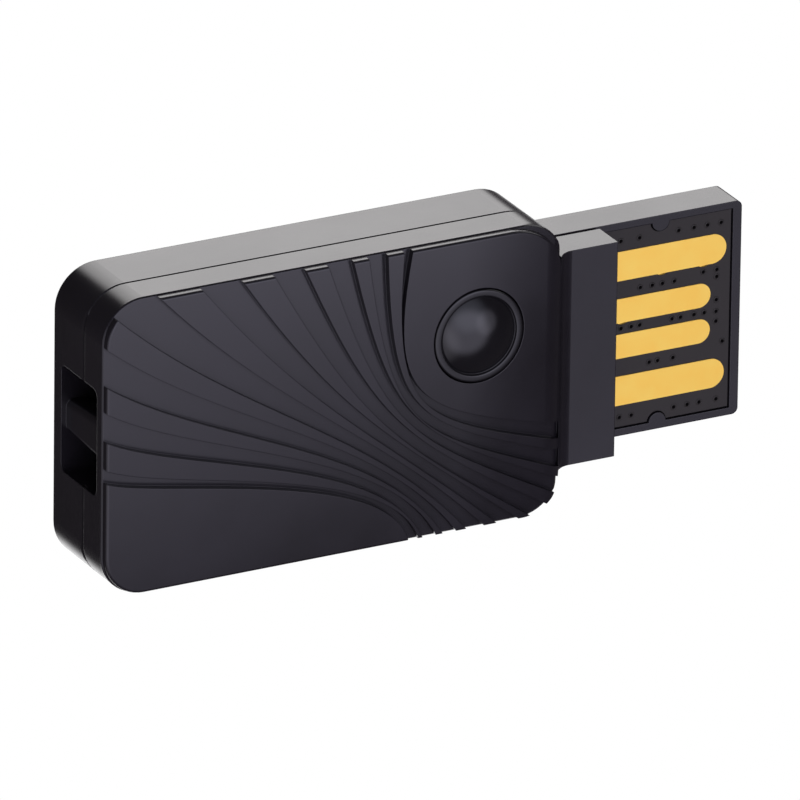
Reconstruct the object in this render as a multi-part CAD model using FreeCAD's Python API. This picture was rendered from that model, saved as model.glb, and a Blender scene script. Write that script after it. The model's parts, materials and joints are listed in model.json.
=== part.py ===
import FreeCAD, Part
import math
import os

# Wireless USB stick with a ribbed case, an open plug board and a pairing button.
# Lengths are in millimetres. It is modelled with X from the strap end to the plug
# tip, Y from front to back and Z up. X is 0 at the strap end, Y is 0 at the rim of
# the plug tray and Z is 0 on the plug's axis. place() then moves it to its own frame.

# case
case_length = 26.5
case_height = 16.3
case_corner_r = 2.3
case_front = 2.78          # from the tray's rim forward to the sunk face
case_back = 2.66           # from the tray's rim back to the rear face
case_wall = 0.9
seam_forward = 0.7         # the case halves part this far in front of the rim
seam_groove = 0.07
face_edge = 0.07           # broken edge round the sunk face
face_round_r = 0.5         # rounding of the sunk face at the plug end

# raised ribs
rib_height = 0.4
rib_inset = 0.08
rib_root = 0.2             # how far a rib's solid reaches into the face
rib_edge_r = 0.15          # rounding where the raised face meets its outline
panel_corner_r = 3.0       # the raised panel's corner over the plug
panel_round_r = 1.63       # rounding of the raised face towards the plug
panel_round_width = 1.1

# Each rib edge starts on the top or the strap end, and stops on the plug end or the
# bottom. Starts are measured round the outline from the end of the top edge, and
# stops from the start of the plug end.
rib_starts = [6.6, 7.1, 8.05, 9.15, 10.05, 11.5, 12.8, 14.6, 16.4,
              18.75, 21.2, 23.85, 25.55, 27.65, 29.1, 30.7, 32.25, 33.0]
rib_stops = [9.0, 9.95, 10.55, 11.55, 12.1, 12.95, 13.65, 14.75, 15.4,
             16.7, 17.45, 18.5, 19.1, 19.9, 20.3, 21.1, 21.35, 21.95]
# headings in degrees and pulls as shares of the span: first, middle and last edge
rib_start_heading = (-100.4, -53.7, -24.3)
rib_stop_heading = (-13.4, -40.3, -78.2)
rib_start_pull = (0.59, 0.45, 0.17)
rib_stop_pull = (0.61, 0.39, 0.246)

# plug
plug_height = 12.0
plug_reach = 12.0          # from the case to the plug's tip
tray_depth = 2.25
tray_rim = 0.4
tray_tip_wall = 0.5
tray_corner_r = 0.35
tray_tab_r = 0.5
tray_tab_from_tip = 4.75
collar_depth = 2.25
collar_length = 3.5
collar_gap = 0.25          # open line along the collar's outer edge
collar_seat_width = 0.2
neck_sweep_width = 0.9

# circuit board
board_thickness = 1.0
board_recess = 0.12        # below the tray's rim
board_gap = 0.06
board_side_gap = 0.6       # to the case wall
board_start = 4.3
pad_thickness = 0.05
pad_outer_z = 3.5
pad_inner_z = 1.0
pad_outer_width = 1.64
pad_inner_width = 1.35
pad_outer_from_tip = 0.27
pad_inner_from_tip = 1.15
pad_cover = 0.8            # length hidden under the collar

# posts that hold the board and the case halves together
post_r = 1.15
pin_r = 0.5
pin_clearance = 0.05
pin_reach = 1.1            # into the front half's boss
post_x = 8.7
post_z = 5.2

# strap recess and bar at the end
strap_z = 0.22
strap_height = 5.9
strap_front = 2.2
strap_back = 1.85
strap_depth = 3.1
strap_wall = 0.6
strap_corner_r = 0.45
bar_setback = 0.3
bar_thickness = 1.3
bar_height_back = 1.75
bar_height_front = 2.3
bar_corner_r = 0.4
bar_clearance = 0.03

# pairing button and its switch
button_from_end = 5.03     # back from the case's plug end
button_z = 2.67
button_hole_r = 2.62
button_gap = 0.09
button_rim_width = 0.4
button_rim_proud = 0.1     # above the raised panel
button_rim_facets = 4      # flats that make up the half-round rim
dome_rise = 0.75           # from the groove inside the rim
flange_r = 3.05
flange_thickness = 0.45
flange_clearance = 0.04
boss_r = 1.0
push_travel = 0.25
push_margin = 0.04
switch_width = 3.6
switch_height = 0.9
switch_well_r = 1.3
switch_well_floor = 0.3
cover_thickness = 0.1
cover_hole_r = 0.87
plunger_r = 0.8
plunger_foot_r = 1.05
plunger_foot = 0.2

# parts on the board, placed from the strap end: centre X, centre Z, length,
# height and thickness
antenna_place = (5.9, 0.0, 2.0, 7.0, 0.8)
filter_place = (8.6, 0.0, 0.8, 1.6, 0.6)
radio_place = (12.9, 0.2, 5.0, 5.0, 0.85)
crystal_place = (13.2, 4.9, 3.2, 2.5, 0.7)
memory_place = (12.2, -4.9, 4.0, 2.6, 0.75)
capacitor_size = (1.0, 0.5, 0.5)
capacitor_places = [(9.3, 2.4), (9.3, -2.4), (16.2, 1.9), (16.2, -1.0), (16.2, 5.2)]
resistor_size = (1.0, 0.5, 0.35)
resistor_places = [(9.9, 3.6), (16.2, 3.2), (16.2, 0.4)]

# parts placed from the case's plug end: distance back to the centre, then as above
inductor_from_end = (3.3, -5.0, 2.5, 2.0, 1.2)
regulator_from_end = (7.6, -4.6, 2.9, 1.5, 1.05)
diode_from_end = (3.9, -1.6, 2.9, 1.3, 1.0)
capacitors_from_end = [(5.5, -6.0)]
resistors_from_end = [(6.9, -2.4), (1.7, -3.4)]
chip_lead = 0.45
chip_lead_width = 0.4
chip_lead_thickness = 0.15
chip_lead_pitch = 0.95
chip_stand_off = 0.1
chip_dot_r = 0.3
chip_dot_depth = 0.05

# places that follow from the sizes above
overall_length = case_length + plug_reach
seam_y = -seam_forward
face_y = -case_front
panel_y = face_y - rib_height
inner_front_y = face_y + case_wall
inner_back_y = case_back - case_wall
board_y = board_recess
board_back_y = board_y + board_thickness
pocket_z = plug_height / 2 - tray_rim
pocket_end_x = overall_length - tray_tip_wall
board_plug_z = pocket_z - board_gap
board_case_z = case_height / 2 - case_wall - board_side_gap
board_end_x = pocket_end_x - board_gap
neck_x = case_length - case_wall
collar_x = case_length + collar_length
tab_x = overall_length - tray_tab_from_tip
strap_bottom = strap_z - strap_height / 2
strap_block = strap_depth + strap_wall
neck_face_y = panel_y + panel_round_r - math.sqrt(
    panel_round_r ** 2 - (panel_round_width - rib_inset) ** 2)
button_x = case_length - button_from_end
rim_y = panel_y - button_rim_proud + button_rim_width / 2
crown_y = rim_y - dome_rise
flange_front_y = inner_front_y + flange_clearance
flange_back_y = flange_front_y + flange_thickness
switch_front_y = board_y - switch_height
cover_front_y = switch_front_y - cover_thickness
plunger_front_y = cover_front_y - push_travel - push_margin
well_floor_y = board_y - switch_well_floor


def place(shape):
    """Moves a shape to the part's frame: centred in X and Y, standing on Z = 0."""
    middle_y = (crown_y + case_back) / 2
    moved = shape.copy()
    moved.translate(FreeCAD.Vector(-overall_length / 2, -middle_y, case_height / 2))
    return moved


def point(x, y, z):
    return FreeCAD.Vector(x, y, z)


def box(x0, x1, y0, y1, z0, z1):
    return Part.makeBox(x1 - x0, y1 - y0, z1 - z0, point(x0, y0, z0))


def corner_edges(plate):
    """The edges of a plate that run straight through its thickness, across Y."""
    depth = plate.BoundBox.YLength
    return [e for e in plate.Edges if e.BoundBox.YLength > depth / 2]


def edges_at(block, y):
    """The edges of a block that lie in one plane across Y."""
    return [e for e in block.Edges
            if max(abs(e.BoundBox.YMin - y), abs(e.BoundBox.YMax - y)) < seam_groove / 10]


def slab(x0, x1, z0, z1, y0, y1, r):
    """A plate across Y whose outline has round corners."""
    plate = box(x0, x1, y0, y1, z0, z1)
    return plate.makeFillet(r, corner_edges(plate))


def disc(x, z, y0, y1, r):
    return Part.makeCylinder(r, y1 - y0, point(x, y0, z), point(0, 1, 0))


def outline_point(run, at_plug_end):
    """A point of the case outline and its outward direction, run mm along it.

    Starts run from the end of the top edge towards the strap end. Stops run from
    the start of the plug end downwards.
    """
    r = case_corner_r
    half = case_height / 2
    length_first = (case_height - 2 * r) if at_plug_end else (case_length - 2 * r)
    arc = math.pi * r / 2
    if at_plug_end:
        edge_start, edge_way = (case_length, half - r), (0, -1)
        centre, turn_from = (case_length - r, r - half), 0.0
        last_start, last_way, out_last = (case_length - r, -half), (-1, 0), (0, -1)
        out_first, turn_way = (1, 0), -1
    else:
        edge_start, edge_way = (case_length - r, half), (-1, 0)
        centre, turn_from = (r, half - r), math.pi / 2
        last_start, last_way, out_last = (0, half - r), (0, -1), (-1, 0)
        out_first, turn_way = (0, 1), 1
    if run <= length_first:
        spot = [edge_start[i] + run * edge_way[i] for i in (0, 1)]
        return spot, out_first
    if run <= length_first + arc:
        turn = turn_from + turn_way * (run - length_first) / r
        out = (math.cos(turn), math.sin(turn))
        return [centre[i] + r * out[i] for i in (0, 1)], out
    rest = run - length_first - arc
    return [last_start[i] + rest * last_way[i] for i in (0, 1)], out_last


def blended(values, share):
    """The parabola through a first, middle and last value, at a share from 0 to 1."""
    first, middle, last = values
    return (first * (1 - share) * (1 - 2 * share)
            + middle * 4 * share * (1 - share)
            + last * share * (2 * share - 1))


def rib_edge(number):
    """Poles of one rib edge, a cubic curve across the front face, as (x, z) pairs,
    with a straight lead beyond the outline at both ends."""
    share = number / (len(rib_starts) - 1)
    start, start_out = outline_point(rib_starts[number], False)
    stop, stop_out = outline_point(rib_stops[number], True)
    span = math.hypot(stop[0] - start[0], stop[1] - start[1])
    leave = math.radians(blended(rib_start_heading, share))
    arrive = math.radians(blended(rib_stop_heading, share))
    first_pull = span * blended(rib_start_pull, share)
    last_pull = span * blended(rib_stop_pull, share)
    poles = [start,
             (start[0] + first_pull * math.cos(leave), start[1] + first_pull * math.sin(leave)),
             (stop[0] - last_pull * math.cos(arrive), stop[1] - last_pull * math.sin(arrive)),
             stop]
    lead = case_corner_r / 2
    before = (start[0] + lead * start_out[0], start[1] + lead * start_out[1])
    after = (stop[0] + lead * stop_out[0], stop[1] + lead * stop_out[1])
    return before, poles, after


def rib_area(first, second, far_corners, y0, y1):
    """A solid across Y between two rib edges, or between one edge and far corners."""
    edges = []

    def lines(spots):
        for a, b in zip(spots, spots[1:]):
            edges.append(Part.makeLine(point(a[0], y0, a[1]), point(b[0], y0, b[1])))

    def curve(poles):
        bezier = Part.BezierCurve()
        bezier.setPoles([point(x, y0, z) for x, z in poles])
        edges.append(bezier.toShape())

    before, poles, after = rib_edge(first)
    lines([before, poles[0]])
    curve(poles)
    lines([poles[-1], after])
    if second is None:
        lines([after] + far_corners + [before])
    else:
        back_before, back_poles, back_after = rib_edge(second)
        lines([after, back_after, back_poles[-1]])
        curve(back_poles[::-1])
        lines([back_poles[0], back_before, before])
    return Part.Face(Part.Wire(edges)).extrude(point(0, y1 - y0, 0))


def end_rounding(radius, width, front_y):
    """What the rounded front edge at the plug end takes off, for one face level."""
    centre_x = case_length - width
    centre_y = front_y + radius
    corner = box(centre_x, case_length + radius, front_y - radius, centre_y,
                 -case_height, case_height)
    post = Part.makeCylinder(radius, 2 * case_height, point(centre_x, centre_y, -case_height))
    return corner.cut(post)


def ribs():
    """The raised panels and ribs, cut from one plate that follows the case outline."""
    half = case_height / 2
    root_y = face_y + rib_root
    far_x = case_length - rib_inset
    plate = box(rib_inset, far_x, panel_y, root_y, rib_inset - half, half - rib_inset)
    above_plug = max(corner_edges(plate), key=lambda e: e.Vertexes[0].X + e.Vertexes[0].Z)
    plate = plate.makeFillet(panel_corner_r, [above_plug])
    others = [e for e in corner_edges(plate)
              if abs(e.Vertexes[0].Z) > half - 2 * rib_inset
              and not rib_inset < e.Vertexes[0].X < far_x - rib_inset]
    plate = plate.makeFillet(case_corner_r - rib_inset, others)
    plate = plate.makeFillet(rib_edge_r, edges_at(plate, panel_y))
    plate = plate.cut(end_rounding(panel_round_r, panel_round_width, panel_y))
    y0 = panel_y - rib_height
    y1 = root_y + rib_height
    over = case_corner_r
    last = len(rib_starts) - 1
    plug_side = [(case_length + over, rib_edge(0)[2][1]), (case_length + over, half + over),
                 (rib_edge(0)[0][0], half + over)]
    strap_side = [(rib_edge(last)[2][0], -half - over), (-over, -half - over),
                  (-over, rib_edge(last)[0][1])]
    areas = [rib_area(0, None, plug_side, y0, y1)]
    for number in range(1, last, 2):
        areas.append(rib_area(number, number + 1, None, y0, y1))
    areas.append(rib_area(last, None, strap_side, y0, y1))
    return [plate.common(area) for area in areas]


def case_block(y0, y1):
    half = case_height / 2
    return slab(0, case_length, -half, half, y0, y1, case_corner_r)


def case_hollow(y0, y1):
    """The room inside the case, which leaves the strap recess its own walls."""
    half = case_height / 2 - case_wall
    room = slab(case_wall, case_length - case_wall, -half, half, y0, y1,
                case_corner_r - case_wall)
    block = box(0, strap_block, y0 - 1, y1 + 1,
                strap_bottom - strap_wall, strap_bottom + strap_height + strap_wall)
    return room.cut(block)


def strap_recess():
    block = box(-1, strap_depth, -strap_front, strap_back,
                strap_bottom, strap_bottom + strap_height)
    along = [e for e in block.Edges
             if abs(e.Vertexes[0].X - e.Vertexes[-1].X) > strap_depth]
    return block.makeFillet(strap_corner_r, along)


def neck_sweep():
    """The hollow curve from the case's front edge down to the collar's face."""
    x0 = case_length - rib_inset
    x1 = x0 + neck_sweep_width
    depth = -collar_depth - neck_face_y
    sweep_r = (neck_sweep_width ** 2 + depth ** 2) / (2 * depth)
    half = plug_height / 2
    block = box(x0, x1, neck_face_y, -collar_depth + rib_root, -half, half)
    groove = Part.makeCylinder(sweep_r, 2 * plug_height,
                               point(x1, -collar_depth - sweep_r, -plug_height))
    return block.cut(groove)


def collar():
    """The bridge over the board at the root of the plug, seated on the tray's rims."""
    half = plug_height / 2
    body = box(neck_x, collar_x, -collar_depth, 0, -half, half)
    seat = pocket_z + collar_seat_width
    for side in (-1, 1):
        low, high = sorted((side * seat, side * (half + 1)))
        body = body.cut(box(neck_x - 1, collar_x + 1, -collar_gap, 1, low, high))
    return body


def front_shell():
    """The ribbed front half of the case with the collar, moulded as one piece."""
    block = case_block(face_y, seam_y)
    block = block.makeChamfer(seam_groove, edges_at(block, seam_y))
    block = block.makeChamfer(face_edge, edges_at(block, face_y))
    block = block.cut(end_rounding(face_round_r, face_round_r, face_y))
    block = block.fuse(ribs() + [neck_sweep(), collar()])
    block = block.cut(case_hollow(inner_front_y, seam_y + 1))
    block = block.cut(disc(button_x, button_z, panel_y - 1, inner_front_y + 1, button_hole_r))
    for side in (-1, 1):
        boss = disc(post_x, side * post_z, inner_front_y - rib_root, board_y, post_r)
        bore = disc(post_x, side * post_z, board_y - pin_reach - pin_clearance, board_y + 1,
                    pin_r + pin_clearance)
        block = block.fuse(boss).cut(bore)
    return block.cut(strap_recess()).removeSplitter()


def strap_bar():
    """The bar that a strap loops round: it widens towards the front half."""
    outlines = []
    for y, height in ((strap_back + rib_root, bar_height_back),
                      (bar_clearance - strap_front, bar_height_front)):
        low = strap_z - height / 2
        high = strap_z + height / 2
        x0, x1 = bar_setback, bar_setback + bar_thickness
        r = bar_corner_r
        s = r * (1 - math.sqrt(0.5))
        edges = [
            Part.makeLine(point(x0, y, low + r), point(x0, y, high - r)),
            Part.Arc(point(x0, y, high - r), point(x0 + s, y, high - s),
                     point(x0 + r, y, high)).toShape(),
            Part.makeLine(point(x0 + r, y, high), point(x1 - r, y, high)),
            Part.Arc(point(x1 - r, y, high), point(x1 - s, y, high - s),
                     point(x1, y, high - r)).toShape(),
            Part.makeLine(point(x1, y, high - r), point(x1, y, low + r)),
            Part.Arc(point(x1, y, low + r), point(x1 - s, y, low + s),
                     point(x1 - r, y, low)).toShape(),
            Part.makeLine(point(x1 - r, y, low), point(x0 + r, y, low)),
            Part.Arc(point(x0 + r, y, low), point(x0 + s, y, low + s),
                     point(x0, y, low + r)).toShape()]
        outlines.append(Part.Wire(edges))
    return Part.makeLoft(outlines, True, True)


def tray():
    """The open plug tray with its board pocket and the two tabs that hold the board."""
    half = plug_height / 2
    block = box(neck_x, overall_length, 0, tray_depth, -half, half)
    tip = [e for e in block.Edges
           if e.Vertexes[0].X > overall_length - 0.001
           and abs(e.Vertexes[0].Y - e.Vertexes[-1].Y) > tray_depth / 2]
    block = block.makeFillet(tray_corner_r, tip)
    pocket = box(neck_x - 1, pocket_end_x, -1, board_back_y, -pocket_z, pocket_z)
    for side in (-1, 1):
        pocket = pocket.cut(disc(tab_x, side * pocket_z, -2, tray_depth, tray_tab_r))
    return block.cut(pocket)


def back_shell():
    """The plain back half of the case with the plug tray, moulded as one piece."""
    block = case_block(seam_y, case_back)
    block = block.makeChamfer(seam_groove, edges_at(block, seam_y))
    block = block.cut(case_hollow(seam_y - 1, inner_back_y))
    half = plug_height / 2
    block = block.cut(box(neck_x - 1, case_length + 1, seam_y - 1, 0, -half, half))
    block = block.cut(box(neck_x - 1, case_length + 1, -1, board_back_y, -pocket_z, pocket_z))
    block = block.fuse(tray())
    for side in (-1, 1):
        post = disc(post_x, side * post_z, board_back_y, inner_back_y + rib_root, post_r)
        pin = disc(post_x, side * post_z, board_y - pin_reach, board_back_y + rib_root, pin_r)
        block = block.fuse([post, pin])
    block = block.cut(strap_recess())
    return block.fuse(strap_bar()).removeSplitter()


def circuit_board():
    """One board from the strap recess to the plug's tip, notched for the tray's tabs."""
    wide = box(board_start, neck_x - board_side_gap, board_y, board_back_y,
               -board_case_z, board_case_z)
    narrow = box(board_start + 1, board_end_x, board_y, board_back_y,
                 -board_plug_z, board_plug_z)
    board = wide.fuse(narrow).removeSplitter()
    for side in (-1, 1):
        board = board.cut(disc(tab_x, side * pocket_z, board_y - 1, board_back_y + 1,
                               tray_tab_r + board_gap))
        board = board.cut(disc(post_x, side * post_z, board_y - 1, board_back_y + 1,
                               pin_r + pin_clearance))
    return board


def contact(centre_z, width, from_tip):
    """A gold contact: a strip with a half-round end towards the tip."""
    y0 = board_y - pad_thickness
    x0 = collar_x - pad_cover
    x1 = board_end_x - from_tip - width / 2
    strip = box(x0, x1, y0, board_y, centre_z - width / 2, centre_z + width / 2)
    return strip.fuse(disc(x1, centre_z, y0, board_y, width / 2)).removeSplitter()


def revolved(profile, x, z):
    """A turned solid about an axis across Y, from edges in the plane of that axis."""
    face = Part.Face(Part.Wire(profile))
    return face.revolve(point(x, 0, z), point(0, 1, 0), 360)


def pairing_button():
    """A dome inside a half-round rim, with a flange behind the case wall and a boss."""
    x, z = button_x, button_z
    cap_r = button_hole_r - button_gap
    rim_r = button_rim_width / 2
    dome_r = cap_r - button_rim_width
    sphere_r = (dome_r ** 2 + dome_rise ** 2) / (2 * dome_rise)
    tilt = math.asin(dome_r / sphere_r) / 2

    def at(radius, y):
        return point(x + radius, y, z)

    def rim_point(number):
        turn = math.pi * number / button_rim_facets
        return at(dome_r + rim_r - rim_r * math.cos(turn), rim_y - rim_r * math.sin(turn))

    dome_middle = at(sphere_r * math.sin(tilt), crown_y + sphere_r * (1 - math.cos(tilt)))
    profile = [Part.Arc(at(0, crown_y), dome_middle, at(dome_r, rim_y)).toShape()]
    for number in range(button_rim_facets):
        profile.append(Part.makeLine(rim_point(number), rim_point(number + 1)))
    profile += [
        Part.makeLine(at(cap_r, rim_y), at(cap_r, flange_front_y)),
        Part.makeLine(at(cap_r, flange_front_y), at(flange_r, flange_front_y)),
        Part.makeLine(at(flange_r, flange_front_y), at(flange_r, flange_back_y)),
        Part.makeLine(at(flange_r, flange_back_y), at(boss_r, flange_back_y)),
        Part.makeLine(at(boss_r, flange_back_y), at(boss_r, plunger_front_y)),
        Part.makeLine(at(boss_r, plunger_front_y), at(0, plunger_front_y)),
        Part.makeLine(at(0, plunger_front_y), at(0, crown_y))]
    return revolved(profile, x, z)


def switch_body():
    half = switch_width / 2
    block = slab(button_x - half, button_x + half, button_z - half, button_z + half,
                 switch_front_y, board_y, switch_width / 10)
    return block.cut(disc(button_x, button_z, switch_front_y - 1, well_floor_y,
                          switch_well_r))


def switch_cover():
    """The steel plate that keeps the plunger in, with its two bent ears."""
    half = switch_width / 2
    plate = box(button_x - half, button_x + half, cover_front_y, switch_front_y,
                button_z - half, button_z + half)
    for side in (-1, 1):
        inner = button_z + side * half
        low, high = sorted((inner, inner + side * cover_thickness))
        plate = plate.fuse(box(button_x - half / 2, button_x + half / 2, cover_front_y,
                               switch_front_y + switch_height / 2, low, high))
    return plate.cut(disc(button_x, button_z, cover_front_y - 1, switch_front_y + 1,
                          cover_hole_r)).removeSplitter()


def switch_plunger():
    stem = disc(button_x, button_z, plunger_front_y, switch_front_y + push_margin + plunger_foot,
                plunger_r)
    foot = disc(button_x, button_z, switch_front_y + push_margin,
                switch_front_y + push_margin + plunger_foot, plunger_foot_r)
    return stem.fuse(foot).removeSplitter()


def block_part(where, chamfer):
    """A part that lies flat on the board, its top edges broken."""
    x, z, length, height, thickness = where
    y0 = board_y - thickness
    block = box(x - length / 2, x + length / 2, y0, board_y, z - height / 2, z + height / 2)
    return block.makeChamfer(chamfer, edges_at(block, y0))


def marked_chip(where, chamfer):
    """A flat chip with the small round dimple that marks its first pin."""
    x, z, length, height, thickness = where
    chip = block_part(where, chamfer)
    edge = 3 * chip_dot_r
    dimple = disc(x - length / 2 + edge, z + height / 2 - edge,
                  board_y - thickness - 1, board_y - thickness + chip_dot_depth, chip_dot_r)
    return chip.cut(dimple)


def leaded_chip(where, lead_counts):
    """A small moulded part on bent leads, lead_counts on its low and high side."""
    x, z, length, height, thickness = where
    y0 = board_y - thickness
    body = box(x - length / 2, x + length / 2, y0, board_y - chip_stand_off,
               z - height / 2, z + height / 2)
    part = body.makeChamfer(chip_stand_off, edges_at(body, y0))
    middle_y = board_y - thickness / 2
    for side, count in zip((-1, 1), lead_counts):
        for number in range(count):
            lead_x = x + number * chip_lead_pitch - (count - 1) * chip_lead_pitch / 2
            x0, x1 = lead_x - chip_lead_width / 2, lead_x + chip_lead_width / 2
            root = z + side * (height / 2 - chip_lead_thickness)
            bend = z + side * (height / 2 + chip_lead_thickness)
            toe = z + side * (height / 2 + chip_lead)
            t = chip_lead_thickness
            low, high = sorted((root, bend + side * t))
            part = part.fuse(box(x0, x1, middle_y, middle_y + t, low, high))
            low, high = sorted((bend, bend + side * t))
            part = part.fuse(box(x0, x1, middle_y, board_y, low, high))
            low, high = sorted((bend, toe))
            part = part.fuse(box(x0, x1, board_y - t, board_y, low, high))
    return part.removeSplitter()


def chip_row(size, places):
    """A group of like two-ended chip parts, each with raised metal ends."""
    length, height, thickness = size
    cap = length / 4
    step = thickness / 12
    parts = []
    for x, z in places:
        core = box(x - length / 2 + cap, x + length / 2 - cap, board_y - thickness + step,
                   board_y, z - height / 2 + step, z + height / 2 - step)
        ends = [box(x - length / 2, x - length / 2 + cap, board_y - thickness, board_y,
                    z - height / 2, z + height / 2),
                box(x + length / 2 - cap, x + length / 2, board_y - thickness, board_y,
                    z - height / 2, z + height / 2)]
        parts.append(core.fuse(ends).removeSplitter())
    return Part.makeCompound(parts)


def from_plug_end(where):
    """A place whose first value is the distance back from the case's plug end."""
    return (case_length - where[0],) + where[1:]


def build():
    all_capacitors = capacitor_places + [from_plug_end(w) for w in capacitors_from_end]
    all_resistors = resistor_places + [from_plug_end(w) for w in resistors_from_end]
    nodes = {
        "front_shell": front_shell(),
        "back_shell": back_shell(),
        "circuit_board": circuit_board(),
        "contact_power": contact(pad_outer_z, pad_outer_width, pad_outer_from_tip),
        "contact_data_minus": contact(pad_inner_z, pad_inner_width, pad_inner_from_tip),
        "contact_data_plus": contact(-pad_inner_z, pad_inner_width, pad_inner_from_tip),
        "contact_ground": contact(-pad_outer_z, pad_outer_width, pad_outer_from_tip),
        "pairing_button": pairing_button(),
        "switch_body": switch_body(),
        "switch_cover": switch_cover(),
        "switch_plunger": switch_plunger(),
        "radio_chip": marked_chip(radio_place, chip_dot_depth),
        "memory_chip": marked_chip(memory_place, chip_dot_depth),
        "crystal": block_part(crystal_place, chip_stand_off),
        "chip_antenna": block_part(antenna_place, chip_dot_depth),
        "antenna_filter": block_part(filter_place, chip_dot_depth),
        "power_inductor": block_part(from_plug_end(inductor_from_end), chip_stand_off),
        "voltage_regulator": leaded_chip(from_plug_end(regulator_from_end), (3, 2)),
        "surge_diode": leaded_chip(from_plug_end(diode_from_end), (2, 2)),
        "capacitors": chip_row(capacitor_size, all_capacitors),
        "resistors": chip_row(resistor_size, all_resistors),
    }
    os.makedirs("parts", exist_ok=True)
    for name, shape in nodes.items():
        placed = place(shape)
        solid = placed.Solids[0] if len(placed.Solids) == 1 else placed
        solid.exportStep(os.path.join("parts", name + ".step"))
        print(name, "solids", len(placed.Solids), "valid", placed.isValid(),
              "volume %.3f" % placed.Volume)


build()
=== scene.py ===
import bmesh
import bpy
import json
import math
import numpy as np
from mathutils import Matrix, Vector


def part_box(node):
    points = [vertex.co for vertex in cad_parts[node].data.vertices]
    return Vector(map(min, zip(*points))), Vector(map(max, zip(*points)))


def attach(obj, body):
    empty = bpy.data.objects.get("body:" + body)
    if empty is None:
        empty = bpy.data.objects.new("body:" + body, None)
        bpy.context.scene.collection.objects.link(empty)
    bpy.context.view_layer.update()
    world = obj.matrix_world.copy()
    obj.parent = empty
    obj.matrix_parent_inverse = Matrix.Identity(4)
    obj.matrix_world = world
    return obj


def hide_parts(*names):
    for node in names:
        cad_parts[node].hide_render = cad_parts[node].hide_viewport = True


# Studio picture of a wireless USB stick, seen by a camera at a fixed place.
# Lengths in the dictionaries are in millimetres and colours are sRGB.
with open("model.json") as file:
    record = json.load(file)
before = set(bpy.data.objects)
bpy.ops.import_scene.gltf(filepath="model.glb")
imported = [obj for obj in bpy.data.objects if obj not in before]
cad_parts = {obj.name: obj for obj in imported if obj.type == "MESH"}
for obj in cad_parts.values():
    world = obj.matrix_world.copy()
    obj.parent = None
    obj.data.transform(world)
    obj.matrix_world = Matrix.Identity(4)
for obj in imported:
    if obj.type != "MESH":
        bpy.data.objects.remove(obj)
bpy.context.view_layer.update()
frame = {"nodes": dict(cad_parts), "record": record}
scene = bpy.context.scene
nodes = frame["nodes"]
mm = 0.001
frontLow, frontHigh = (Vector(corner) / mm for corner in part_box("front_shell"))
collarReach = 3.5    # how far the collar stands out of the case
collarDepth = 0.7    # how far its back lies behind the line where the halves meet
caseEnd = frontHigh.x - collarReach
seamY = frontHigh.y - collarDepth

cameraSet = {"aim": (-0.93, 0.04, 6.82), "azimuth": -27.95, "elevation": 22.92, "roll": 0.80,
             "distance": 947.6, "lens": 828.7, "sensor": 36.0}


def linearColour(text):
    parts = [int(text[i:i + 2], 16) / 255 for i in (1, 3, 5)]
    parts = [c / 12.92 if c <= 0.04045 else ((c + 0.055) / 1.055) ** 2.4 for c in parts]
    return (*parts, 1.0)


def makeCamera(values):
    a = math.radians(values["azimuth"])
    e = math.radians(values["elevation"])
    r = math.radians(values["roll"])
    back = Vector((math.sin(a) * math.cos(e), -math.cos(a) * math.cos(e), math.sin(e)))
    right = Vector((0, 0, 1)).cross(back).normalized()
    up = back.cross(right)
    x = right * math.cos(r) + up * math.sin(r)
    y = up * math.cos(r) - right * math.sin(r)
    place = (Vector(values["aim"]) + back * values["distance"]) * mm
    camera = bpy.data.objects.new("camera", bpy.data.cameras.new("camera"))
    scene.collection.objects.link(camera)
    camera.matrix_world = Matrix.Translation(place) @ Matrix((x, y, back)).transposed().to_4x4()
    camera.data.sensor_width = values["sensor"]
    camera.data.lens = values["lens"]
    camera.data.clip_start = 0.01
    camera.data.clip_end = 10
    camera.data.dof.use_dof = False
    scene.camera = camera


def addNode(tree, kind, values):   # a lower-case key is a setting, any other key is a socket
    node = tree.nodes.new("ShaderNode" + kind)
    for key, value in values.items():
        if isinstance(key, str) and key.islower():
            setattr(node, key, value)
        elif isinstance(value, bpy.types.NodeSocket):
            tree.links.new(value, node.inputs[key])
        else:
            node.inputs[key].default_value = value
    return node


# The room is white for the camera. For the part it is dim, with soft lights around it, each
# full within its inner angle and gone at its outer one.
roomSet = {"background": "#ffffff", "floor": "#ffffff", "floorReach": 2000.0, "room": "#efe2ee",
           "strength": 0.075}
roomLights = [
    # behind and above, mirrored by the top faces
    {"toward": (0.354, 0.760, 0.545), "colour": "#fffdfd", "strength": 3.1, "inner": 14, "outer": 28},
    # in front and a little low, mirrored by the whole face
    {"toward": (-0.100, -0.970, -0.100), "colour": "#ebe8fd", "strength": 1.68, "inner": 27, "outer": 47},
    # in front, at the plug's side, mirrored by the right half of the button's dome
    {"toward": (0.500, -0.850, 0.080), "colour": "#eeebff", "strength": 1.1, "inner": 10, "outer": 24},
    # in front and above, mirrored by the rest of the dome
    {"toward": (-0.020, -0.870, 0.430), "colour": "#e4e8ff", "strength": 1.05, "inner": 12, "outer": 40},
    # behind and below, seen only from the back
    {"toward": (0.300, 0.800, -0.520), "colour": "#ffffff", "strength": 1.6, "inner": 8, "outer": 30},
    # over the plug's tip, on the upper rounded corner at the plug's end
    {"toward": (0.820, 0.000, 0.570), "colour": "#ffffff", "strength": 1.8, "inner": 7, "outer": 20},
    # low at the strap's end, mirrored by the end face
    {"toward": (-0.800, -0.450, -0.390), "colour": "#f3f0ff", "strength": 0.9, "inner": 20, "outer": 48}]


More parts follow.
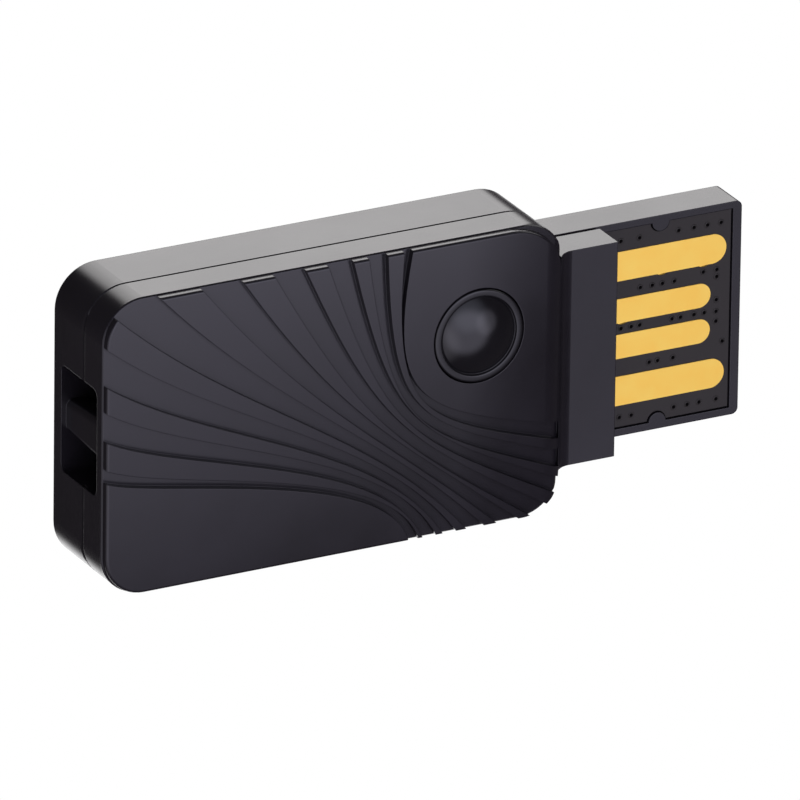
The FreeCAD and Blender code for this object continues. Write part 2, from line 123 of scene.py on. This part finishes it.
def makeWorld(values, lights):
    world = bpy.data.worlds.new("studio")
    scene.world = world
    world.use_nodes = True
    tree = world.node_tree
    tree.nodes.clear()
    direction = addNode(tree, "TexCoord", {}).outputs["Generated"]
    total = addNode(tree, "Background", {"Color": linearColour(values["room"]),
                                         "Strength": values["strength"]}).outputs[0]
    for light in lights:
        toward = Vector(light["toward"]).normalized()
        nearness = addNode(tree, "VectorMath", {"operation": "DOT_PRODUCT", 0: direction, 1: toward})
        fade = addNode(tree, "MapRange", {"interpolation_type": "SMOOTHSTEP",
                                          "Value": nearness.outputs["Value"],
                                          "From Min": math.cos(math.radians(light["outer"])),
                                          "From Max": math.cos(math.radians(light["inner"])),
                                          "To Max": light["strength"]})
        glow = addNode(tree, "Background", {"Color": linearColour(light["colour"]),
                                            "Strength": fade.outputs["Result"]})
        total = addNode(tree, "AddShader", {0: total, 1: glow.outputs[0]}).outputs[0]
    seen = addNode(tree, "Background", {"Color": linearColour(values["background"])})
    path = addNode(tree, "LightPath", {})
    mix = addNode(tree, "MixShader", {"Fac": path.outputs["Is Camera Ray"],
                                      1: total, 2: seen.outputs[0]})
    addNode(tree, "OutputWorld", {"Surface": mix.outputs[0]})


def makeFloor(values):   # a white sheet that the camera sees and the part doesn't mirror
    mesh = bpy.data.meshes.new("floor")
    reach = values["floorReach"] * mm
    mesh.from_pydata([(-reach, -reach, 0), (reach, -reach, 0), (reach, reach, 0), (-reach, reach, 0)],
                     [], [(0, 1, 2, 3)])
    floor = bpy.data.objects.new("floor", mesh)
    scene.collection.objects.link(floor)
    material, tree = newMaterial("paleFloor")
    glow = addNode(tree, "Emission", {"Color": linearColour(values["floor"])})
    addNode(tree, "OutputMaterial", {"Surface": glow.outputs[0]})
    mesh.materials.append(material)
    floor.visible_glossy = False
    floor.visible_diffuse = False
    floor.visible_shadow = False


def newMaterial(name):
    material = bpy.data.materials.new(name)
    material.use_nodes = True
    material.node_tree.nodes.clear()
    return material, material.node_tree


def cloudTint(tree, cloud, values, span):   # the colour drifts into the cloudy one
    shade = addNode(tree, "MapRange", {"Value": cloud, "From Min": span[0],
                                       "From Max": span[1]}).outputs[0]
    return addNode(tree, "MixRGB", {"Fac": shade, "Color1": linearColour(values["colour"]),
                                    "Color2": linearColour(values["cloudy"])}).outputs[0]


def cloudGloss(tree, cloud, values):   # and the gloss drifts into haze with it
    span = values["hazeSpan"]
    return addNode(tree, "MapRange", {"Value": cloud, "From Min": span[0], "From Max": span[1],
                                      "To Min": values["gloss"], "To Max": values["haze"]}).outputs[0]


def finishMaterial(tree, values):
    shader = addNode(tree, "BsdfPrincipled", values)
    addNode(tree, "OutputMaterial", {"Surface": shader.outputs[0]})


# Black ABS, moulded semi-gloss. It mirrors the room dimly, with soft clouds from the
# moulding, and its flat faces sink a little towards their edges. The bow is the drop at 1 mm
# from the crown, which grows with the square of the distance.
caseSet = {"colour": "#171518", "cloudy": "#1c1a1e", "tintSpan": (0.35, 0.7), "gloss": 0.19,
           "haze": 0.26, "hazeSpan": (0.3, 0.75), "ior": 1.44, "edge": 0.05, "crownX": 15.0,
           "crownZ": 8.5, "bowX": 0.0012, "bowZ": 0.0060, "plugBow": 0.010, "plugReach": 6.0,
           "faceDepth": (0.5, 0.7), "seamHalf": (0.12, 0.18), "strapEnd": (0.15, 0.3),
           "cloud": 6.0, "wave": 4.5, "waveDepth": 0.010, "grain": 0.11, "grainDepth": 0.0006}


def roundedEdges(tree, split, values):
    # every edge is rounded a little, apart from the seam on the strap's end: there the
    # surface faces straight out, so that the line between the halves hardly shows
    offSeam = addNode(tree, "Math", {"operation": "ABSOLUTE", 0: addNode(tree, "Math", {
        "operation": "SUBTRACT", 0: split.outputs["Y"], 1: seamY * mm}).outputs[0]}).outputs[0]
    near, far = values["seamHalf"]
    nearSeam = addNode(tree, "MapRange", {"Value": offSeam, "From Min": near * mm,
                                          "From Max": far * mm, "To Min": 1.0, "To Max": 0.0})
    near, far = (frontLow.x + reach for reach in values["strapEnd"])
    onStrapEnd = addNode(tree, "MapRange", {"Value": split.outputs["X"], "From Min": near * mm,
                                            "From Max": far * mm, "To Min": 1.0, "To Max": 0.0})
    closed = addNode(tree, "Math", {"operation": "MULTIPLY", 0: nearSeam.outputs[0],
                                    1: onStrapEnd.outputs[0]}).outputs[0]
    opened = addNode(tree, "Math", {"operation": "SUBTRACT", 0: 1.0, 1: closed}).outputs[0]
    kept = addNode(tree, "VectorMath", {"operation": "SCALE", "Scale": opened, 0: addNode(
        tree, "Bevel", {"samples": 8, "Radius": values["edge"] * mm}).outputs[0]}).outputs[0]
    outward = addNode(tree, "VectorMath", {"operation": "SCALE", "Scale": closed, 0: (-1, 0, 0)})
    return addNode(tree, "VectorMath", {"operation": "ADD", 0: kept, 1: outward.outputs[0]}).outputs[0]


def faceCrown(tree, split, values, under):
    # the face is highest at one place and falls off by the square of the distance along X
    # and Z, and once more near the plug's end
    height = 0.0
    for axis, start, bow, oneSided in (
            ("X", frontLow.x + values["crownX"], values["bowX"], False),
            ("Z", frontLow.z + values["crownZ"], values["bowZ"], False),
            ("X", caseEnd - values["plugReach"], values["plugBow"], True)):
        off = addNode(tree, "MapRange", {"clamp": False, "Value": split.outputs[axis],
                                         "From Min": start * mm, "From Max": (start + 1) * mm}).outputs[0]
        if oneSided:
            off = addNode(tree, "Math", {"operation": "MAXIMUM", 0: off, 1: 0.0}).outputs[0]
        square = addNode(tree, "Math", {"operation": "MULTIPLY", 0: off, 1: off}).outputs[0]
        height = addNode(tree, "Math", {"operation": "MULTIPLY_ADD", 0: square, 1: -bow,
                                        2: height}).outputs[0]
    near, far = (frontLow.y + depth for depth in values["faceDepth"])
    onFace = addNode(tree, "MapRange", {"Value": split.outputs["Y"], "From Min": near * mm,
                                        "From Max": far * mm, "To Min": 1.0, "To Max": 0.0}).outputs[0]
    return addNode(tree, "Bump", {"Strength": onFace, "Height": height, "Distance": mm,
                                  "Normal": under}).outputs[0]


def casePlastic(values):
    material, tree = newMaterial("blackAbsMoulded")
    place = addNode(tree, "TexCoord", {}).outputs["Object"]
    split = addNode(tree, "SeparateXYZ", {"Vector": place})
    cloud = addNode(tree, "TexNoise", {"Vector": place, "Scale": 1 / (values["cloud"] * mm),
                                       "Detail": 4.0, "Roughness": 0.6}).outputs[0]
    crown = faceCrown(tree, split, values, roundedEdges(tree, split, values))
    wave = addNode(tree, "TexNoise", {"Vector": place, "Scale": 1 / (values["wave"] * mm)}).outputs[0]
    sway = addNode(tree, "Bump", {"Height": wave, "Distance": values["waveDepth"] * mm,
                                  "Normal": crown}).outputs[0]
    grain = addNode(tree, "TexNoise", {"Vector": place, "Scale": 1 / (values["grain"] * mm)}).outputs[0]
    skin = addNode(tree, "Bump", {"Height": grain, "Distance": values["grainDepth"] * mm,
                                  "Normal": sway}).outputs[0]
    finishMaterial(tree, {"Base Color": cloudTint(tree, cloud, values, values["tintSpan"]),
                          "Roughness": cloudGloss(tree, cloud, values), "IOR": values["ior"],
                          "Normal": skin})
    return material


# Black ABS from a polished mould: deeper and glossier than the case, so that the dome holds
# a clear soft highlight. Heights in the ring and in what is hidden count from the dome's foot.
buttonSet = {"colour": "#0f0e10", "cloudy": "#131214", "tintSpan": (0.35, 0.7), "gloss": 0.14,
             "haze": 0.2, "hazeSpan": (0.3, 0.75), "ior": 1.44, "cloud": 3.0, "grain": 0.11,
             "grainDepth": 0.0006, "domeRadius": 2.13, "domeRise": 0.75, "domeSteps": 40,
             "ring": ((2.14, -0.03), (2.15, 0.06), (2.165, 0.11), (2.19, 0.14), (2.22, 0.15),
                      (2.25, 0.152), (2.44, 0.152), (2.48, 0.146), (2.515, 0.128), (2.54, 0.10),
                      (2.555, 0.06), (2.555, 0.0)),
             "neck": ((2.53, -0.1), (2.53, -1.24)),
             "flange": ((3.05, -1.24), (3.05, -1.69)), "bossRadius": 1.0, "turns": 160}


def buttonPlastic(values):
    material, tree = newMaterial("blackAbsPolished")
    place = addNode(tree, "TexCoord", {}).outputs["Object"]
    cloud = addNode(tree, "TexNoise", {"Vector": place, "Scale": 1 / (values["cloud"] * mm),
                                       "Detail": 3.0}).outputs[0]
    grain = addNode(tree, "TexNoise", {"Vector": place, "Scale": 1 / (values["grain"] * mm)}).outputs[0]
    skin = addNode(tree, "Bump", {"Height": grain, "Distance": values["grainDepth"] * mm}).outputs[0]
    finishMaterial(tree, {"Base Color": cloudTint(tree, cloud, values, values["tintSpan"]),
                          "Roughness": cloudGloss(tree, cloud, values), "IOR": values["ior"],
                          "Normal": skin})
    return material


# Black solder mask over glass-fibre cloth: satin, with the weave faintly felt through it.
boardSet = {"colour": "#1a1612", "cloudy": "#1f1b17", "tintSpan": (0.0, 1.0), "roughness": 0.42,
            "ior": 1.42, "cloud": 2.0, "thread": 0.6, "weaveDepth": 0.0005}


def solderMask(values):
    material, tree = newMaterial("blackSolderMask")
    place = addNode(tree, "TexCoord", {}).outputs["Object"]
    cloud = addNode(tree, "TexNoise", {"Vector": place, "Scale": 1 / (values["cloud"] * mm)}).outputs[0]
    weave = addNode(tree, "TexWave", {"Vector": place, "Scale": 0.5 / (values["thread"] * mm),
                                      "Distortion": 0.4}).outputs["Fac"]
    bump = addNode(tree, "Bump", {"Height": weave, "Distance": values["weaveDepth"] * mm}).outputs[0]
    finishMaterial(tree, {"Base Color": cloudTint(tree, cloud, values, values["tintSpan"]),
                          "Roughness": values["roughness"], "IOR": values["ior"], "Normal": bump})
    return material


# The small finishes, each a colour that clouds softly into a second over a faint unevenness.
finishSet = {
    # hard gold over nickel on the contacts: warm, satin, without scratches
    "gold": {"name": "goldPlate", "colour": "#ffd767", "cloudy": "#ffd05f", "roughness": 0.3,
             "metal": 1.0},
    # moulded epoxy of the chips: dark and dull
    "chip": {"name": "epoxyMould", "colour": "#161616", "cloudy": "#1f1f20", "roughness": 0.5,
             "metal": 0.0},
    # rolled sheet steel of the cans: bright, softly mirrored
    "steel": {"name": "sheetSteel", "colour": "#a9a9a9", "cloudy": "#c2c2c2", "roughness": 0.3,
              "metal": 1.0},
    # fired ceramic of the aerial and the capacitors: pale sand, faintly glazed
    "ceramic": {"name": "firedCeramic", "colour": "#b9a98c", "cloudy": "#cbbd9f", "roughness": 0.45,
                "metal": 0.0},
    # fired ferrite of the coil: grey and matt
    "ferrite": {"name": "firedFerrite", "colour": "#3a3a3b", "cloudy": "#474748", "roughness": 0.6,
                "metal": 0.0},
    # moulded nylon of the switch: black and dull
    "switch": {"name": "nylonMould", "colour": "#1b1b1c", "cloudy": "#262627", "roughness": 0.5,
               "metal": 0.0}}
finishCloud = {"size": 1.25, "depth": 0.002, "tintSpan": (0.3, 0.7)}


def smallFinish(values):
    material, tree = newMaterial(values["name"])
    place = addNode(tree, "TexCoord", {}).outputs["Object"]
    cloud = addNode(tree, "TexNoise", {"Vector": place, "Scale": 1 / (finishCloud["size"] * mm),
                                       "Detail": 3.0}).outputs[0]
    bump = addNode(tree, "Bump", {"Height": cloud, "Distance": finishCloud["depth"] * mm}).outputs[0]
    finishMaterial(tree, {"Base Color": cloudTint(tree, cloud, values, finishCloud["tintSpan"]),
                          "Metallic": values["metal"], "Roughness": values["roughness"],
                          "Specular IOR Level": values.get("shine", 0.5), "Normal": bump})
    return material


def dressNodes():
    looks = {"case": casePlastic(caseSet), "board": solderMask(boardSet)}
    for slot, values in finishSet.items():
        looks[slot] = smallFinish(values)
    for part in frame["record"]["subparts"]:
        mesh = nodes[part["node"]].data
        mesh.materials.clear()
        mesh.materials.append(looks[part["material_slot"]])
    return looks


def turnedPieces(name, body, centres, profile, turns, width=1.0, tall=1.0):
    # a profile of (radius, rise) turned about each centre's own Y axis:
    # x = cx + width r cos t, y = cy - rise, z = cz + tall r sin t
    radius, rise = np.array(profile).T
    t = np.linspace(0, 2 * np.pi, turns, endpoint=False)
    centres = np.array(centres)[:, None, None, :]
    x = centres[..., 0] + width * radius[None, :, None] * np.cos(t)
    y = centres[..., 1] - rise[None, :, None] + 0 * x
    z = centres[..., 2] + tall * radius[None, :, None] * np.sin(t)
    points = np.stack((x, y, z), axis=-1).reshape(-1, 3) * mm
    spots, rings = len(centres), len(radius)
    row, step = np.meshgrid(np.arange(rings - 1), np.arange(turns), indexing="ij")
    near = row * turns + step
    side = row * turns + (step + 1) % turns
    quads = np.stack((near, side, side + turns, near + turns), axis=-1).reshape(-1, 4)
    faces = (quads[None] + (np.arange(spots) * rings * turns)[:, None, None]).reshape(-1, 4)
    mesh = bpy.data.meshes.new(name)
    mesh.from_pydata(points.tolist(), [], faces.tolist())
    work = bmesh.new()
    work.from_mesh(mesh)
    bmesh.ops.remove_doubles(work, verts=work.verts, dist=0.001 * mm)
    bmesh.ops.recalc_face_normals(work, faces=work.faces)
    work.to_mesh(mesh)
    work.free()
    mesh.shade_smooth()
    piece = bpy.data.objects.new(name, mesh)
    scene.collection.objects.link(piece)
    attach(piece, body)
    return piece


# Plated holes under the mask. Each row holds its height above the plug's axis and its
# places along it. The middle of each hole is painted shade: a black disc without shine
# lies over the dimple and stands for the dark inside of the hole.
viaSet = {"profile": ((0.0, 0.002), (0.045, 0.002), (0.10, 0.030), (0.125, 0.034), (0.15, 0.026),
                      (0.18, -0.01), (0.0, -0.01)), "turns": 18,
          # the disc of painted shade that covers the middle of each via
          "holeShadeProfile": ((0.0, 0.022), (0.07, 0.022), (0.10, 0.032), (0.10, -0.01), (0.0, -0.01)),
          # painted shade: black and without shine, for the dark inside of each hole
          "finish": {"name": "paintedHoleShade", "colour": "#060505", "cloudy": "#0b0a0a",
                     "roughness": 0.7, "metal": 0.0, "shine": 0.0},
          "rows": ((4.9, (12.2, 13.3, 15.6, 16.5, 17.3, 18.1)), (2.3, (17.1, 17.9)),
                   (2.1, (13.4, 14.1, 14.7, 15.4)), (0.0, (12.3, 12.9, 13.4, 15.3, 15.8, 16.6, 17.2)),
                   (1.9, (17.9,)), (0.6, (17.9,)), (-0.05, (17.9,)), (-0.6, (17.9,)), (-1.8, (18.3,)),
                   (-2.2, (14.0, 14.5, 15.4)), (-5.0, (12.3, 13.0, 15.5, 16.3, 17.0, 18.0)))}


def addVias(values, mask):
    low, high = (Vector(corner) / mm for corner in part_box("circuit_board"))
    plugAxis = (low.z + high.z) / 2
    centres = [(x, low.y, plugAxis + z) for z, row in values["rows"] for x in row]
    vias = turnedPieces("board_vias", "case", centres, values["profile"], values["turns"])
    vias.data.materials.append(mask)
    # black discs of painted shade over the middles of the vias
    holeShade = turnedPieces("board_via_hole_shade", "case", centres, values["holeShadeProfile"], values["turns"])
    holeShade.data.materials.append(smallFinish(values["finish"]))


# Small tabs that the etching left on the lower edges of two contacts, at these places along
# the plug. They lie just under the contact's face.
tabSet = {"power": (14.65, 17.1), "data": (12.35,), "width": 0.52, "reach": 0.10, "flat": 0.9,
          "sink": 0.004, "edge": 0.01, "root": 0.01, "turns": 28}


def addTabs(values, gold):
    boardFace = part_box("circuit_board")[0][1] / mm
    for name, contact, along in (("tabs_power", "contact_power", values["power"]),
                                 ("tabs_data", "contact_data_minus", values["data"])):
        low = Vector(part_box(contact)[0]) / mm
        rise = boardFace - low.y - values["sink"]
        profile = ((0.0, rise), (values["flat"], rise), (1.0, rise - values["edge"]),
                   (1.0, -values["root"]), (0.0, -values["root"]))
        centres = [(x, boardFace, low.z) for x in along]
        tabs = turnedPieces(name, "case", centres, profile, values["turns"], values["width"] / 2,
                            values["reach"])
        tabs.data.materials.append(gold)


def makeButton(values):
    # the dome is a cap of the sphere through its crown and its foot: r = R sin t and
    # rise = crown - R (1 - cos t); the ring, neck, flange and boss follow in the same profile
    low, high = (np.array(corner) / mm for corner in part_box("pairing_button"))
    foot, rise = values["domeRadius"], values["domeRise"]
    sphere = (foot ** 2 + rise ** 2) / (2 * rise)
    tilt = np.linspace(0, math.asin(foot / sphere), values["domeSteps"])
    dome = np.stack((sphere * np.sin(tilt), rise - sphere * (1 - np.cos(tilt))), axis=-1)
    footY = low[1] + rise
    flangeBack = values["flange"][-1][1]
    boss = ((values["bossRadius"], flangeBack), (values["bossRadius"], footY - high[1]),
            (0.0, footY - high[1]))
    profile = np.concatenate((dome, values["ring"], values["neck"], values["flange"], boss))
    centre = ((low[0] + high[0]) / 2, footY, (low[2] + high[2]) / 2)
    button = turnedPieces("button_cap", "button", [centre], profile, values["turns"])
    button.data.materials.append(buttonPlastic(values))
    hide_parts("pairing_button")


scene.view_settings.view_transform = "Standard"
makeCamera(cameraSet)
makeFloor(roomSet)
makeWorld(roomSet, roomLights)
print("camera, floor and lights are set")

looks = dressNodes()
print("materials are on the packed nodes")

addVias(viaSet, looks["board"])
addTabs(tabSet, looks["gold"])
print("board details are made")

makeButton(buttonSet)
print("button is made")
